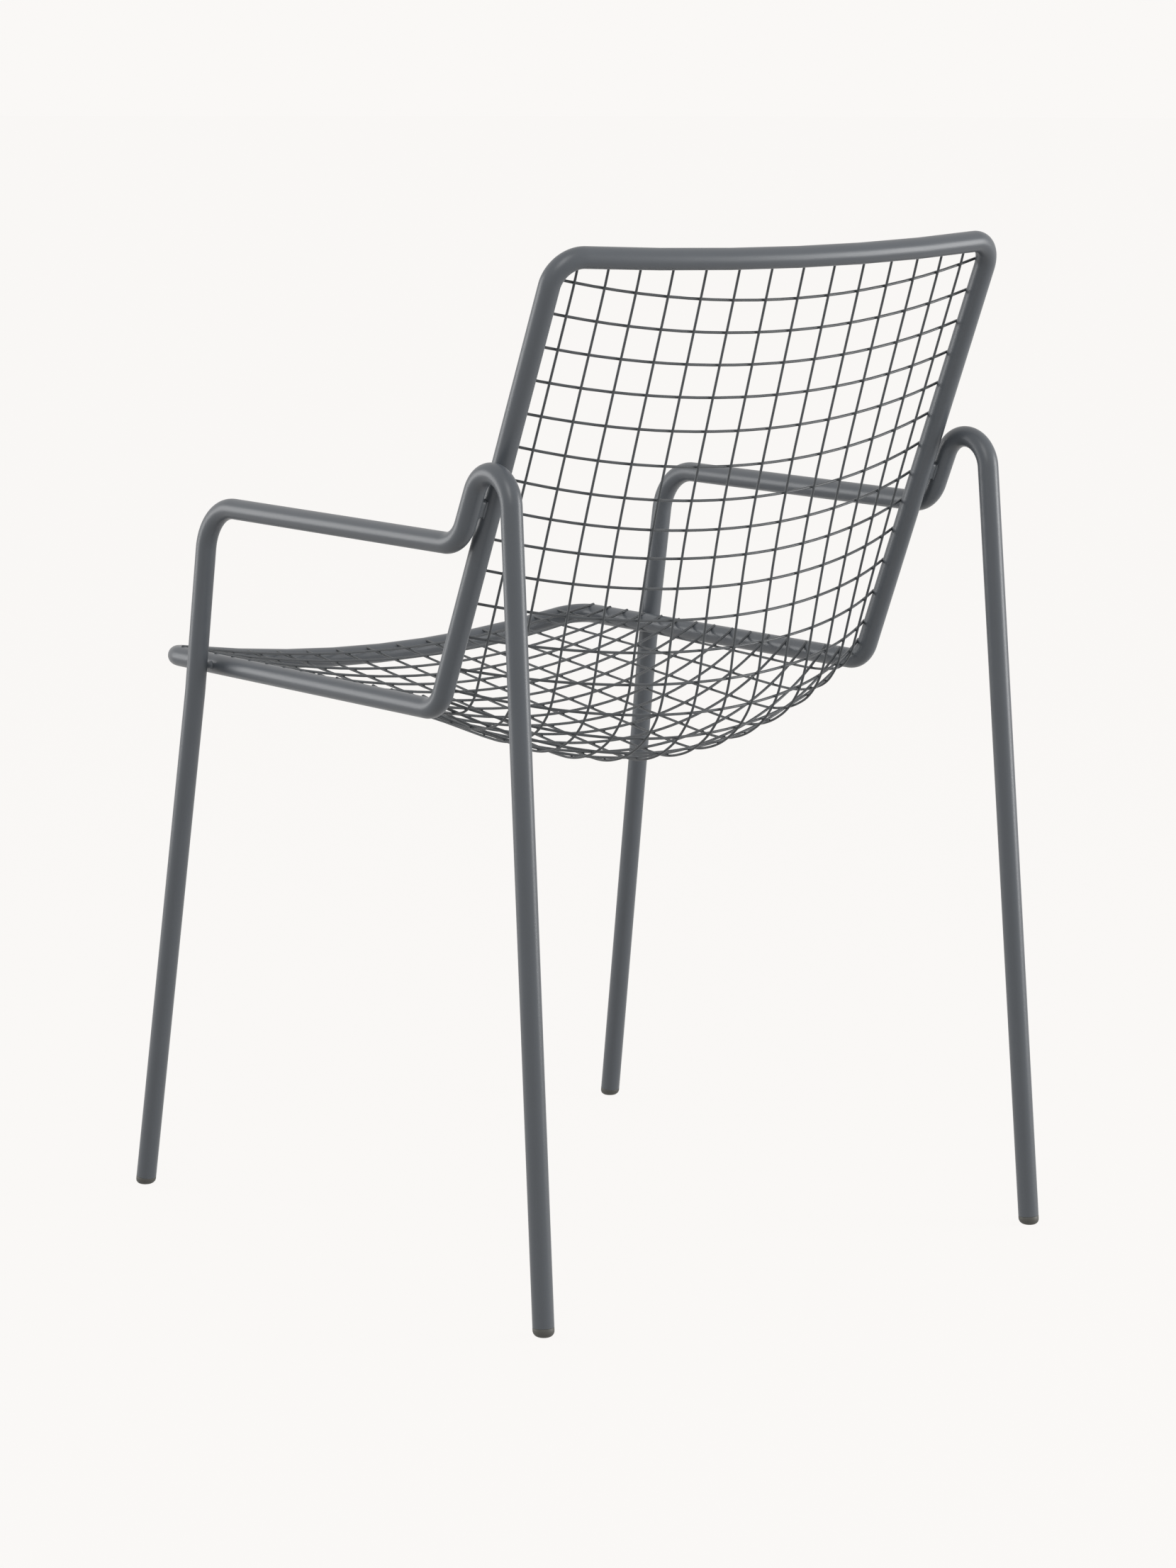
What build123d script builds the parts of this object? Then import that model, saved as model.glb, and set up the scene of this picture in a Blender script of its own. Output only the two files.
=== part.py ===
from build123d import *
import os
from math import acos, asin, atan, atan2, cos, exp, pi, sin, sqrt, tan

# Tube and wire stock, and how far the wires' ends are let into the tubes that they are welded to
TUBE_OD = 16.5
TUBE_WALL = 1.5
LONG_WIRE_D = 2.0
CROSS_WIRE_D = 2.2
CROSS_SINK = 1.0
LONG_SINK = 2.2

# Clearances
WELD_GAP = 0.08
CROSSING_GAP = 0.2
PLUG_GAP = 0.1
SLEEVE_GAP = 0.1
BUTT_GAP = 0.1

# Seat and back frame, on the tube's axis, X to the sitter's left, Y to the rear, Z up from the floor
SEAT_X = 216.0
SEAT_Z = 446.0
FRONT_Y = -276.8
HEEL_Y = 103.0
TOP_Y = 249.2
TOP_Z = 795.8
FRAME_BEND_R = 24.0
TOP_BOW = 17.0
FRONT_DIP = 19.0
SLEEVE_LENGTH = 60.0
SLEEVE_WALL = 1.5

# Side frame, on the tube's axis
FRAME_GAP = 4.5
FOOT_SPLAY = 12.5
SPLAY_DROP = 20.0
FRONT_FOOT_Y = -270.0
REAR_FOOT_Y = 277.0
ARM_Z = 579.5
ARM_FRONT_Y = -178.0
LOOP_BACK = 57.6
LOOP_RISE = 129.5
SPLAY_BEND_R = 150.0
ARM_BEND_R = 42.5
RISER_BEND_R = 28.0
LOOP_BEND_R = 24.7

# Spacers between the two frames
RISER_SPACER_RISE = 27.5
RISER_SPACER_LENGTH = 15.0
RISER_SPACER_DEPTH = 7.0
LEG_SPACER_D = 6.0

# Foot glides
GLIDE_CAP = 7.0
GLIDE_EDGE_R = 4.5
PLUG_LENGTH = 20.0
PLUG_CORE_CUT = 1.2
PLUG_RIB = 2.0
PLUG_RIBS = 3

# Middle line of the wire shell, its two corners before rounding
LUMBAR_RISE = 131.4
LUMBAR_BACK = 32.5
LUMBAR_R = 980.0
BELLY_BACK = 52.3
BELLY_DROP = 68.8
BELLY_R = 84.0

# Cross wires, counted in steps from the top rail to the front rail
BACK_STEPS = 12
HEEL_STEPS = 4
SEAT_STEPS = 13
EDGE_TOP = 19.7
EDGE_ABOVE_HEEL = 33.2
EDGE_PAST_HEEL = 41.6
EDGE_FRONT = 24.0
MID_TOP = 36.9
MID_FRONT = 22.0
CROSS_LAP = 2.5

# How far the back rows are drawn out of even spacing, at which step and over how many steps
EDGE_SLIP = -4.5
EDGE_SLIP_STEP = 8.8
MID_SLIP = 7.0
MID_SLIP_STEP = 6.0
SLIP_SPREAD = 1.85

# Long wires, closer together toward the sides
LONG_PAIRS = 7
LONG_INSET = 0.4
LONG_FAN = 0.0985

# Fairing of the wires: a bend's share of a run, the turn taken as straight, rounds to settle a touch
RUN_SHARE = 0.45
STRAIGHT_DEG = 0.005
TOUCH_ROUNDS = 12

X_AXIS = Vector(1, 0, 0)
Y_AXIS = Vector(0, 1, 0)
Z_AXIS = Vector(0, 0, 1)
TUBE_R = TUBE_OD / 2
BORE_R = TUBE_R - TUBE_WALL
SADDLE_R = TUBE_R + WELD_GAP
LONG_REACH = TUBE_R + LONG_WIRE_D / 2 - LONG_SINK
SHELL_REACH = TUBE_R + CROSS_WIRE_D / 2
CROSS_REACH = SHELL_REACH - CROSS_SINK
STACK = (LONG_WIRE_D + CROSS_WIRE_D) / 2 + CROSSING_GAP
CROSS_STEPS = BACK_STEPS + HEEL_STEPS + SEAT_STEPS
SIDE_X = SEAT_X + TUBE_OD + FRAME_GAP
FOOT_X = SIDE_X + FOOT_SPLAY
CUTTER_SIZE = 4 * TUBE_OD


# A route of straight runs and tangent bends
class Route:
    def __init__(self, start, heading):
        self.point = start
        self.heading = heading.normalized()
        self.edges = []

    def straight(self, length):
        end = self.point + self.heading * length
        self.edges.append(Edge.make_line(self.point, end))
        self.point = end

    def bend(self, radius, toward, angle):
        inward = (toward - self.heading * toward.dot(self.heading)).normalized()
        start = self.point
        heading = self.heading

        def reached(turn):
            return start + heading * (radius * sin(turn)) + inward * (radius * (1 - cos(turn)))

        self.point = reached(angle)
        self.heading = heading * cos(angle) + inward * sin(angle)
        self.edges.append(Edge.make_three_point_arc(start, reached(angle / 2), self.point))

    def wire(self):
        return Wire(self.edges)


def disc(path, radius, seam=None):
    return Plane(origin=path @ 0, x_dir=seam, z_dir=path % 0) * Circle(radius)


def solid_bar(path, diameter, seam=None):
    return sweep(disc(path, diameter / 2, seam), path)


def hollow_bar(path, outer_d, wall):
    return sweep(disc(path, outer_d / 2) - disc(path, outer_d / 2 - wall), path)


def mirrored(part):
    return mirror(part, about=Plane.YZ)


def share(start, end, part):
    return start + (end - start) * part


# Where a line from a corner grazes a round bar seen end on
def graze(corner, centre, reach, side):
    away = corner - centre
    angle = atan2(away.Z, away.Y) + side * acos(reach / away.length)
    return centre + Vector(0, cos(angle), sin(angle)) * reach


# Seat and back frame: half of the loop, from the middle of the top rail to the middle of the front rail
top_corner = Vector(0, TOP_Y, TOP_Z)
heel = Vector(0, HEEL_Y, SEAT_Z)
upright_length = (heel - top_corner).length
seat_length = HEEL_Y - FRONT_Y
down = (heel - top_corner).normalized()
sitter = down.cross(X_AXIS)
heel_turn = acos(-down.Y)
heel_cut = FRAME_BEND_R * tan(heel_turn / 2)
top_angle = 2 * atan(TOP_BOW / (SEAT_X + FRAME_BEND_R))
dip_angle = 2 * atan(FRONT_DIP / (SEAT_X + FRAME_BEND_R))
top_rail_r = (SEAT_X - FRAME_BEND_R * cos(top_angle)) / sin(top_angle)
front_rail_r = (SEAT_X - FRAME_BEND_R * cos(dip_angle)) / sin(dip_angle)
upright_run = upright_length - FRAME_BEND_R - heel_cut
seat_run = seat_length - heel_cut - FRAME_BEND_R
upright_start = top_rail_r * top_angle + FRAME_BEND_R * pi / 2
seat_start = upright_start + upright_run + FRAME_BEND_R * heel_turn

top_middle = top_corner - sitter * TOP_BOW
rim = Route(top_middle, X_AXIS)
rim.bend(top_rail_r, sitter, top_angle)
rim.bend(FRAME_BEND_R, down, pi / 2)
rim.straight(upright_run)
rim.bend(FRAME_BEND_R, sitter, heel_turn)
rim.straight(seat_run)
rim.bend(FRAME_BEND_R, X_AXIS * -cos(dip_angle) - Z_AXIS * sin(dip_angle), pi / 2)
rim.bend(front_rail_r, -X_AXIS, dip_angle - BUTT_GAP / 2 / front_rail_r)
half_rim = rim.wire()
half_frame = hollow_bar(half_rim, TUBE_OD, TUBE_WALL)
seat_back_frame = half_frame + mirrored(half_frame)

# Sleeve inside the front rail where the loop's two ends meet
sleeve_angle = SLEEVE_LENGTH / 2 / front_rail_r
sleeve_start = Vector(
    front_rail_r * sin(sleeve_angle),
    FRONT_Y,
    SEAT_Z - FRONT_DIP + front_rail_r * (1 - cos(sleeve_angle)),
)
sleeve_route = Route(sleeve_start, X_AXIS * -cos(sleeve_angle) - Z_AXIS * sin(sleeve_angle))
sleeve_route.bend(front_rail_r, Z_AXIS, 2 * sleeve_angle)
frame_joint_sleeve = hollow_bar(sleeve_route.wire(), 2 * (BORE_R - SLEEVE_GAP), SLEEVE_WALL)


# The back upright's axis and the front leg's axis at a height
def upright_at(z):
    return Vector(SEAT_X, HEEL_Y + down.Y / down.Z * (z - SEAT_Z), z)


def front_leg_at(z):
    return Vector(SIDE_X, share(FRONT_FOOT_Y, ARM_FRONT_Y, z / ARM_Z), z)


# Side frame: front leg, arm, riser beside the upright, loop and rear leg in one tube
front_foot = Vector(FOOT_X, FRONT_FOOT_Y, 0)
rear_foot = Vector(FOOT_X, REAR_FOOT_Y, 0)
splay = front_leg_at(SEAT_Z - SPLAY_DROP)
arm_front = front_leg_at(ARM_Z)
arm_rear = Vector(SIDE_X, upright_at(ARM_Z).Y, ARM_Z)
loop_top = arm_rear + Vector(0, LOOP_BACK, LOOP_RISE)
front_leg = (splay - front_foot).normalized()
rear_leg = (loop_top - rear_foot).normalized()
riser = (loop_top - arm_rear).normalized()
side_path = FilletPolyline(
    front_foot + front_leg * GLIDE_CAP,
    splay,
    arm_front,
    arm_rear,
    loop_top,
    rear_foot + rear_leg * GLIDE_CAP,
    radius=[SPLAY_BEND_R, ARM_BEND_R, RISER_BEND_R, LOOP_BEND_R],
)
left_side_frame = hollow_bar(side_path, TUBE_OD, TUBE_WALL)


# Spacers, their ends hollowed to sit on both tubes
def tube_saddle(point, along):
    return Plane(origin=point, z_dir=along) * Cylinder(SADDLE_R, CUTTER_SIZE)


spacer_z = ARM_Z + RISER_SPACER_RISE
on_upright = upright_at(spacer_z)
on_riser = arm_rear + riser * (RISER_SPACER_RISE / riser.Z)
across = on_riser - on_upright
spacer_plane = Plane(origin=(on_upright + on_riser) / 2, x_dir=across, z_dir=across.cross(down))
left_riser_spacer = spacer_plane * Box(across.length, RISER_SPACER_LENGTH, RISER_SPACER_DEPTH)
left_riser_spacer -= tube_saddle(on_upright, down)
left_riser_spacer -= tube_saddle(on_riser, riser)

on_leg = front_leg_at(SEAT_Z)
on_rail = Vector(SEAT_X, on_leg.Y, SEAT_Z)
rod_plane = Plane(origin=(on_rail + on_leg) / 2, z_dir=X_AXIS)
left_leg_spacer = rod_plane * Cylinder(LEG_SPACER_D / 2, SIDE_X - SEAT_X)
left_leg_spacer -= tube_saddle(on_rail, Y_AXIS)
left_leg_spacer -= tube_saddle(on_leg, arm_front - splay)


# Foot glide: a cap flush with the tube over a ribbed plug, cut level by the floor
def glide(foot, leg):
    plug_r = BORE_R - PLUG_GAP
    shoulder = Plane(origin=foot + leg * (GLIDE_CAP - WELD_GAP), z_dir=leg)
    rise = (Align.CENTER, Align.CENTER, Align.MIN)
    drop = (Align.CENTER, Align.CENTER, Align.MAX)
    body = shoulder * Cylinder(TUBE_R, GLIDE_CAP + TUBE_OD, align=drop)
    body += shoulder * Cylinder(plug_r - PLUG_CORE_CUT, PLUG_LENGTH, align=rise)
    for rib in range(PLUG_RIBS):
        rib_top = PLUG_LENGTH * (rib + 1) / PLUG_RIBS
        body += shoulder * Pos(0, 0, rib_top) * Cylinder(plug_r, PLUG_RIB, align=drop)
    body -= Pos(foot) * Box(CUTTER_SIZE, CUTTER_SIZE, CUTTER_SIZE, align=drop)
    sole = body.faces().sort_by(Axis.Z)[0]
    return fillet(sole.edges(), GLIDE_EDGE_R)


front_left_glide = glide(front_foot, front_leg)
rear_left_glide = glide(rear_foot, rear_leg)

# Middle line of the shell, from the front of the top rail over the belly to the top of the front rail
front_middle = Vector(0, FRONT_Y, SEAT_Z - FRONT_DIP)
lumbar = Vector(0, upright_at(SEAT_Z + LUMBAR_RISE).Y + LUMBAR_BACK, SEAT_Z + LUMBAR_RISE)
belly = heel + Vector(0, BELLY_BACK, -BELLY_DROP)
guide_start = graze(lumbar, top_middle, SHELL_REACH, -1)
guide_end = graze(belly, front_middle, SHELL_REACH, 1)
guide = FilletPolyline(guide_start, lumbar, belly, guide_end, radius=[LUMBAR_R, BELLY_R])
belly_turn = (belly - lumbar).get_angle(guide_end - belly) * pi / 180
lower_run = (guide_end - belly).length - BELLY_R * tan(belly_turn / 2)
belly_start = guide.length - lower_run - BELLY_R * belly_turn


# Drawn out of even spacing by the most at one step, and less to both sides of it
def slip(step, amount, middle_step):
    return amount * exp(-(((step - middle_step) / SLIP_SPREAD) ** 2))


# Distance of a cross wire's ends along the half loop
def edge_station(step):
    first = upright_start - FRAME_BEND_R + EDGE_TOP
    above_heel = upright_start - FRAME_BEND_R + upright_length - EDGE_ABOVE_HEEL
    past_heel = seat_start - heel_cut + EDGE_PAST_HEEL
    last = seat_start - heel_cut + seat_length - EDGE_FRONT
    if step <= BACK_STEPS:
        return share(first, above_heel, step / BACK_STEPS) + slip(step, EDGE_SLIP, EDGE_SLIP_STEP)
    if step <= BACK_STEPS + HEEL_STEPS:
        return share(above_heel, past_heel, (step - BACK_STEPS) / HEEL_STEPS)
    return share(past_heel, last, (step - BACK_STEPS - HEEL_STEPS) / SEAT_STEPS)


# Distance of a cross wire's middle along the shell's middle line
def middle_station(step):
    if step <= BACK_STEPS:
        return share(MID_TOP, belly_start, step / BACK_STEPS) + slip(step, MID_SLIP, MID_SLIP_STEP)
    return share(belly_start, guide.length - MID_FRONT, (step - BACK_STEPS) / (CROSS_STEPS - BACK_STEPS))


# A cross wire hangs in an arc between its two ends, which graze the tubes on the sitter's side
class CrossWire:
    def __init__(self, step):
        station = edge_station(step)
        axis = half_rim.position_at(station, PositionMode.LENGTH)
        along = half_rim.tangent_at(station, PositionMode.LENGTH)
        self.seat = tube_saddle(axis, along)
        facing = along.cross(X_AXIS).normalized()
        inward = along.cross(facing)
        middle = guide.position_at(middle_station(step), PositionMode.LENGTH)
        touch = 0.0
        for _ in range(TOUCH_ROUNDS):
            self.end = axis + (facing * cos(touch) + inward * sin(touch)) * CROSS_REACH
            hang = Vector(0, middle.Y - self.end.Y, middle.Z - self.end.Z)
            self.sag = hang.length
            self.hang = hang.normalized()
            self.turn = 2 * atan(self.sag / self.end.X)
            touch = atan(-tan(self.turn) * self.hang.dot(facing))
        self.radius = (self.end.X**2 + self.sag**2) / (2 * self.sag)

    def at(self, x):
        depth = sqrt(self.radius**2 - x**2) - self.radius + self.sag
        return Vector(x, self.end.Y, self.end.Z) + self.hang * depth

    def heading(self, x):
        slope = asin(x / self.radius)
        return X_AXIS * cos(slope) - self.hang * sin(slope)

    def solid(self):
        half_turn = self.turn + CROSS_LAP / self.radius
        tip_x = self.radius * sin(half_turn)
        route = Route(self.at(tip_x), -self.heading(tip_x))
        route.bend(self.radius, -self.hang, 2 * half_turn)
        bar = solid_bar(route.wire(), CROSS_WIRE_D, -self.hang)
        return bar - self.seat - mirrored(self.seat)


cross_wires = [CrossWire(step) for step in range(CROSS_STEPS + 1)]


# The bend at a point: its radius and how far its crown lies inside the corner
def bend_at(before, point, after):
    arriving = point - before
    leaving = after - point
    half_turn = arriving.get_angle(leaving) * pi / 360
    radius = RUN_SHARE * min(arriving.length, leaving.length) / tan(half_turn)
    crown = (arriving.normalized() - leaving.normalized()).normalized() * (radius / cos(half_turn) - radius)
    return radius, crown


# A rounded route through points, each bend's crown lying on its point
def smooth_path(points):
    corners = [points[0]]
    for point, after in zip(points[1:], points[2:]):
        if (point - corners[-1]).get_angle(after - point) > STRAIGHT_DEG:
            corners.append(point)
    corners.append(points[-1])
    crowned = [three[1] + bend_at(*three)[1] for three in zip(corners, corners[1:], corners[2:])]
    crowned = [corners[0], *crowned, corners[-1]]
    radii = [bend_at(*three)[0] for three in zip(crowned, crowned[1:], crowned[2:])]
    return FilletPolyline(*crowned, radius=radii)


# A rail's axis at a distance from the chair's middle, and how far the rail leans there
def rail_at(middle, rise, radius, x):
    lean = asin(x / radius)
    return middle + X_AXIS * x + rise * (radius * (1 - cos(lean))), lean


# A long wire runs behind and under every cross wire and ends on the sitter's side of the two rails
def long_path(x):
    crossings = [wire.at(x) for wire in cross_wires]
    rail_top, top_lean = rail_at(top_middle, sitter, top_rail_r, x)
    rail_front, front_lean = rail_at(front_middle, Z_AXIS, front_rail_r, x)
    points = []
    for step, wire in enumerate(cross_wires):
        before = crossings[step - 1] if step else rail_top
        after = crossings[step + 1] if step < CROSS_STEPS else rail_front
        along = (after - before).normalized()
        facing = along.cross(X_AXIS).normalized()
        apart = along.cross(wire.heading(x)).normalized()
        points.append(crossings[step] - facing * (STACK / facing.dot(apart)))
    top_end = graze(points[0], rail_top, LONG_REACH / cos(top_lean), -1)
    front_end = graze(points[-1], rail_front, LONG_REACH / cos(front_lean), 1)
    return smooth_path([top_end, *points, front_end])


def long_solid(x):
    rail_top, top_lean = rail_at(top_middle, sitter, top_rail_r, x)
    rail_front, front_lean = rail_at(front_middle, Z_AXIS, front_rail_r, x)
    bar = solid_bar(long_path(x), LONG_WIRE_D)
    bar -= tube_saddle(rail_top, X_AXIS * cos(top_lean) + sitter * sin(top_lean))
    return bar - tube_saddle(rail_front, X_AXIS * cos(front_lean) + Z_AXIS * sin(front_lean))


outer_x = SEAT_X - FRAME_BEND_R - LONG_INSET
fan_r = outer_x / sin((LONG_PAIRS - 0.5) * LONG_FAN)

pieces = {
    "seat_back_frame": seat_back_frame,
    "frame_joint_sleeve": frame_joint_sleeve,
    "left_side_frame": left_side_frame,
    "right_side_frame": mirrored(left_side_frame),
    "left_riser_spacer": left_riser_spacer,
    "right_riser_spacer": mirrored(left_riser_spacer),
    "left_leg_spacer": left_leg_spacer,
    "right_leg_spacer": mirrored(left_leg_spacer),
    "front_left_glide": front_left_glide,
    "front_right_glide": mirrored(front_left_glide),
    "rear_left_glide": rear_left_glide,
    "rear_right_glide": mirrored(rear_left_glide),
}
for pair in range(LONG_PAIRS):
    left_wire = long_solid(fan_r * sin((pair + 0.5) * LONG_FAN))
    pieces[f"long_wire_{LONG_PAIRS - pair:02d}"] = left_wire
    pieces[f"long_wire_{LONG_PAIRS + 1 + pair:02d}"] = mirrored(left_wire)
for step, wire in enumerate(cross_wires):
    pieces[f"cross_wire_{step + 1:02d}"] = wire.solid()

os.makedirs("parts", exist_ok=True)
for name, piece in pieces.items():
    piece.label = name
    export_step(piece, f"parts/{name}.step")
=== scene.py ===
"""Looks of a stacking garden chair: bent steel tube, a welded wire shell and plastic foot glides."""

import logging
from dataclasses import dataclass, field
from enum import Enum
from math import acos, asin, atan, atan2, ceil, cos, exp, pi, radians, sin, sqrt, tan
from typing import Any, Callable, Iterable, Mapping, Optional, Sequence, Union

import bmesh
import bpy
from mathutils import Matrix, Quaternion, Vector

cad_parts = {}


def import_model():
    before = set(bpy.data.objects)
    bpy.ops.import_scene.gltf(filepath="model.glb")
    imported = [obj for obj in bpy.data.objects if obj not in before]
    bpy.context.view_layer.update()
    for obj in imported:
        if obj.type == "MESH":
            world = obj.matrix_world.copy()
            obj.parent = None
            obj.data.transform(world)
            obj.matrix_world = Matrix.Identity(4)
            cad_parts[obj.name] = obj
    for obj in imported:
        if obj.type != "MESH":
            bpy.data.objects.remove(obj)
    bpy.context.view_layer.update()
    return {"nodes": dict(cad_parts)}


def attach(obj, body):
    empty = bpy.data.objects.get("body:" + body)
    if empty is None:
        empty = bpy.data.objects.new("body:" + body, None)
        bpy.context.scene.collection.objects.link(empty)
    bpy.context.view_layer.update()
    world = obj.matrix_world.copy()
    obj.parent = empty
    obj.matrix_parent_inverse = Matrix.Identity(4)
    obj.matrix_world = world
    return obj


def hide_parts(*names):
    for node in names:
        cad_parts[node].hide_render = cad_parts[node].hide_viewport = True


log = logging.getLogger("garden_chair")

BODY = "root"
X_AXIS = Vector((1, 0, 0))
Z_AXIS = Vector((0, 0, 1))
MIRROR_X = Matrix.Scale(-1, 4, X_AXIS)
SHARP_ANGLE = radians(50)
TIP_SEGMENTS = 3
SAME_POINT = 1e-6
SEAM_WIDTH = 1e-5


class Side(Enum):
    """The sitter's left, where the pieces are worked out, and the right, which mirrors it."""

    LEFT = "left"
    RIGHT = "right"


class TubeEnd(Enum):
    """How the end of a bent bar is closed."""

    ROUNDED = "rounded"
    BORED = "bored"


def arithmetic(operation: str, swapped: bool = False) -> Callable[["Signal", "Operand"], "Signal"]:
    """Make an operator that adds a Math node.

    Args:
        operation: The Math node's operation.
        swapped: Whether the other value comes first.

    Returns:
        The operator.
    """

    def apply(signal: "Signal", other: "Operand") -> "Signal":
        """Add the node.

        Args:
            signal: The socket.
            other: The other value.

        Returns:
            The node's result.
        """
        values = (other, signal) if swapped else (signal, other)
        made = signal.graph.node("ShaderNodeMath", {"operation": operation}, dict(enumerate(values)))
        return Signal(signal.graph, made.outputs[0])

    return apply


@dataclass(frozen=True)
class Signal:
    """A shader socket that adds Math nodes when it stands in an expression.

    Attributes:
        graph: The graph that its sums go into.
        socket: The output that gives the value.
    """

    graph: "Graph"
    socket: bpy.types.NodeSocket

    __add__ = arithmetic("ADD")
    __radd__ = arithmetic("ADD", swapped=True)
    __sub__ = arithmetic("SUBTRACT")
    __rsub__ = arithmetic("SUBTRACT", swapped=True)
    __mul__ = arithmetic("MULTIPLY")
    __rmul__ = arithmetic("MULTIPLY", swapped=True)
    at_most = arithmetic("MINIMUM")
    at_least = arithmetic("MAXIMUM")


Operand = Union[Signal, float]
Colour = tuple[float, float, float]


class Graph:
    """A node tree with one way to add any node."""

    def __init__(self, tree: bpy.types.NodeTree) -> None:
        """Empty the node tree of a material or of the world, and keep it."""
        self.tree = tree
        tree.nodes.clear()

    def node(
        self,
        kind: str,
        settings: Optional[Mapping[str, Any]] = None,
        sockets: Optional[Mapping[Union[str, int], Any]] = None,
    ) -> bpy.types.Node:
        """Add a node, set it up, then fill its sockets.

        Args:
            kind: The node's type.
            settings: Its own settings.
            sockets: Values or links, by the socket's name or number.

        Returns:
            The new node.
        """
        made = self.tree.nodes.new(kind)
        for key, value in (settings or {}).items():
            setattr(made, key, value)
        for key, value in (sockets or {}).items():
            if isinstance(value, Signal):
                value = value.socket
            if isinstance(value, bpy.types.NodeSocket):
                self.tree.links.new(value, made.inputs[key])
            else:
                made.inputs[key].default_value = value
        return made

    def value(self, kind: str, sockets: Mapping[str, Any], output: str) -> Signal:
        """Add a node and take one of its outputs as a value."""
        return Signal(self, self.node(kind, {}, sockets).outputs[output])

    def noise(self, place: bpy.types.NodeSocket, grain: float, detail: float) -> Signal:
        """Add a noise, about 0.5 on average, with marks of about one grain in metres."""
        sockets = {"Vector": place, "Scale": 1 / grain, "Detail": detail, "Roughness": 0.5}
        return self.value("ShaderNodeTexNoise", sockets, "Fac")

    def blend(self, share: Operand, first: Colour, second: Colour) -> bpy.types.NodeSocket:
        """Mix two colours.

        Args:
            share: How much of the second colour shows.
            first: The first colour.
            second: The second colour.

        Returns:
            The mixed colour.
        """
        settings = {"data_type": "RGBA", "clamp_factor": True}
        sockets = {0: share, 6: opaque(first), 7: opaque(second)}
        return self.node("ShaderNodeMix", settings, sockets).outputs[2]

    def place(self) -> bpy.types.NodeSocket:
        """Give the object's own coordinates."""
        return self.node("ShaderNodeTexCoord").outputs["Object"]

    def bump(self, height: Signal, depth: float) -> bpy.types.NodeSocket:
        """Turn a height from 0 to 1 into relief of a depth in metres, and give its normals."""
        sockets = {"Strength": 1.0, "Distance": depth, "Height": height}
        return self.node("ShaderNodeBump", {}, sockets).outputs["Normal"]

    def surface(self, sockets: Mapping[str, Any]) -> None:
        """Close the graph with one plain surface that has these sockets."""
        shader = self.node("ShaderNodeBsdfPrincipled", {}, sockets)
        self.node("ShaderNodeOutputMaterial", {}, {"Surface": shader.outputs["BSDF"]})


def opaque(colour: Colour) -> tuple[float, float, float, float]:
    """Give a colour full cover."""
    return (*colour, 1.0)


def shaded(colour: Colour, share: float) -> Colour:
    """Lighten or darken a colour by a share of itself."""
    return tuple(channel * (1 + share) for channel in colour)


def start_material(name: str) -> tuple[bpy.types.Material, Graph]:
    """Start a material.

    Args:
        name: Its name.

    Returns:
        The material and its empty graph.
    """
    made = bpy.data.materials.new(name)
    made.use_nodes = True
    return made, Graph(made.node_tree)


@dataclass(frozen=True)
class PowderCoat:
    """Satin powder coat with a fine orange peel, a little uneven in tone and gloss.

    Attributes:
        peel: Size of the peel's marks.
        speckle: Size of the finest marks.
        drift: Size of the slow changes along the tube.
        peel_depth: Depth of the peel.
        tone: How far the colour strays, as a share of itself.
        gloss: How far the roughness strays.
        shine: Strength of the reflections.
        tone_drift: The drift's share in the tone, over the speckle's.
        gloss_drift: The drift's share in the gloss, over the speckle's.
        relief_peel: The peel's share in the relief, over the speckle's.
        layers: Finer layers in the drift, the peel and the speckle.
    """

    name: str
    colour: Colour = (0.0780, 0.0872, 0.0988)
    roughness: float = 0.36
    peel: float = 0.0006
    speckle: float = 0.00045
    drift: float = 0.045
    peel_depth: float = 0.00006
    tone: float = 0.10
    gloss: float = 0.10
    shine: float = 0.42
    tone_drift: float = 0.5
    gloss_drift: float = 0.6
    relief_peel: float = 0.75
    layers: tuple[float, float, float] = (3.0, 1.0, 2.0)

    def material(self) -> bpy.types.Material:
        """Make the finish.

        Returns:
            The material.
        """
        made, graph = start_material(self.name)
        place = graph.place()
        sizes = (self.drift, self.peel, self.speckle)
        drift, peel, speckle = (graph.noise(place, size, layers) for size, layers in zip(sizes, self.layers))
        tone = self.tone_drift * drift + (1 - self.tone_drift) * speckle
        uneven = self.gloss_drift * drift + (1 - self.gloss_drift) * speckle - 0.5
        relief = self.relief_peel * peel + (1 - self.relief_peel) * speckle
        graph.surface({
            "Base Color": graph.blend(tone, shaded(self.colour, -self.tone), shaded(self.colour, self.tone)),
            "Roughness": self.roughness + self.gloss * uneven,
            "Specular IOR Level": self.shine,
            "Normal": graph.bump(relief, self.peel_depth),
        })
        return made


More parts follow.
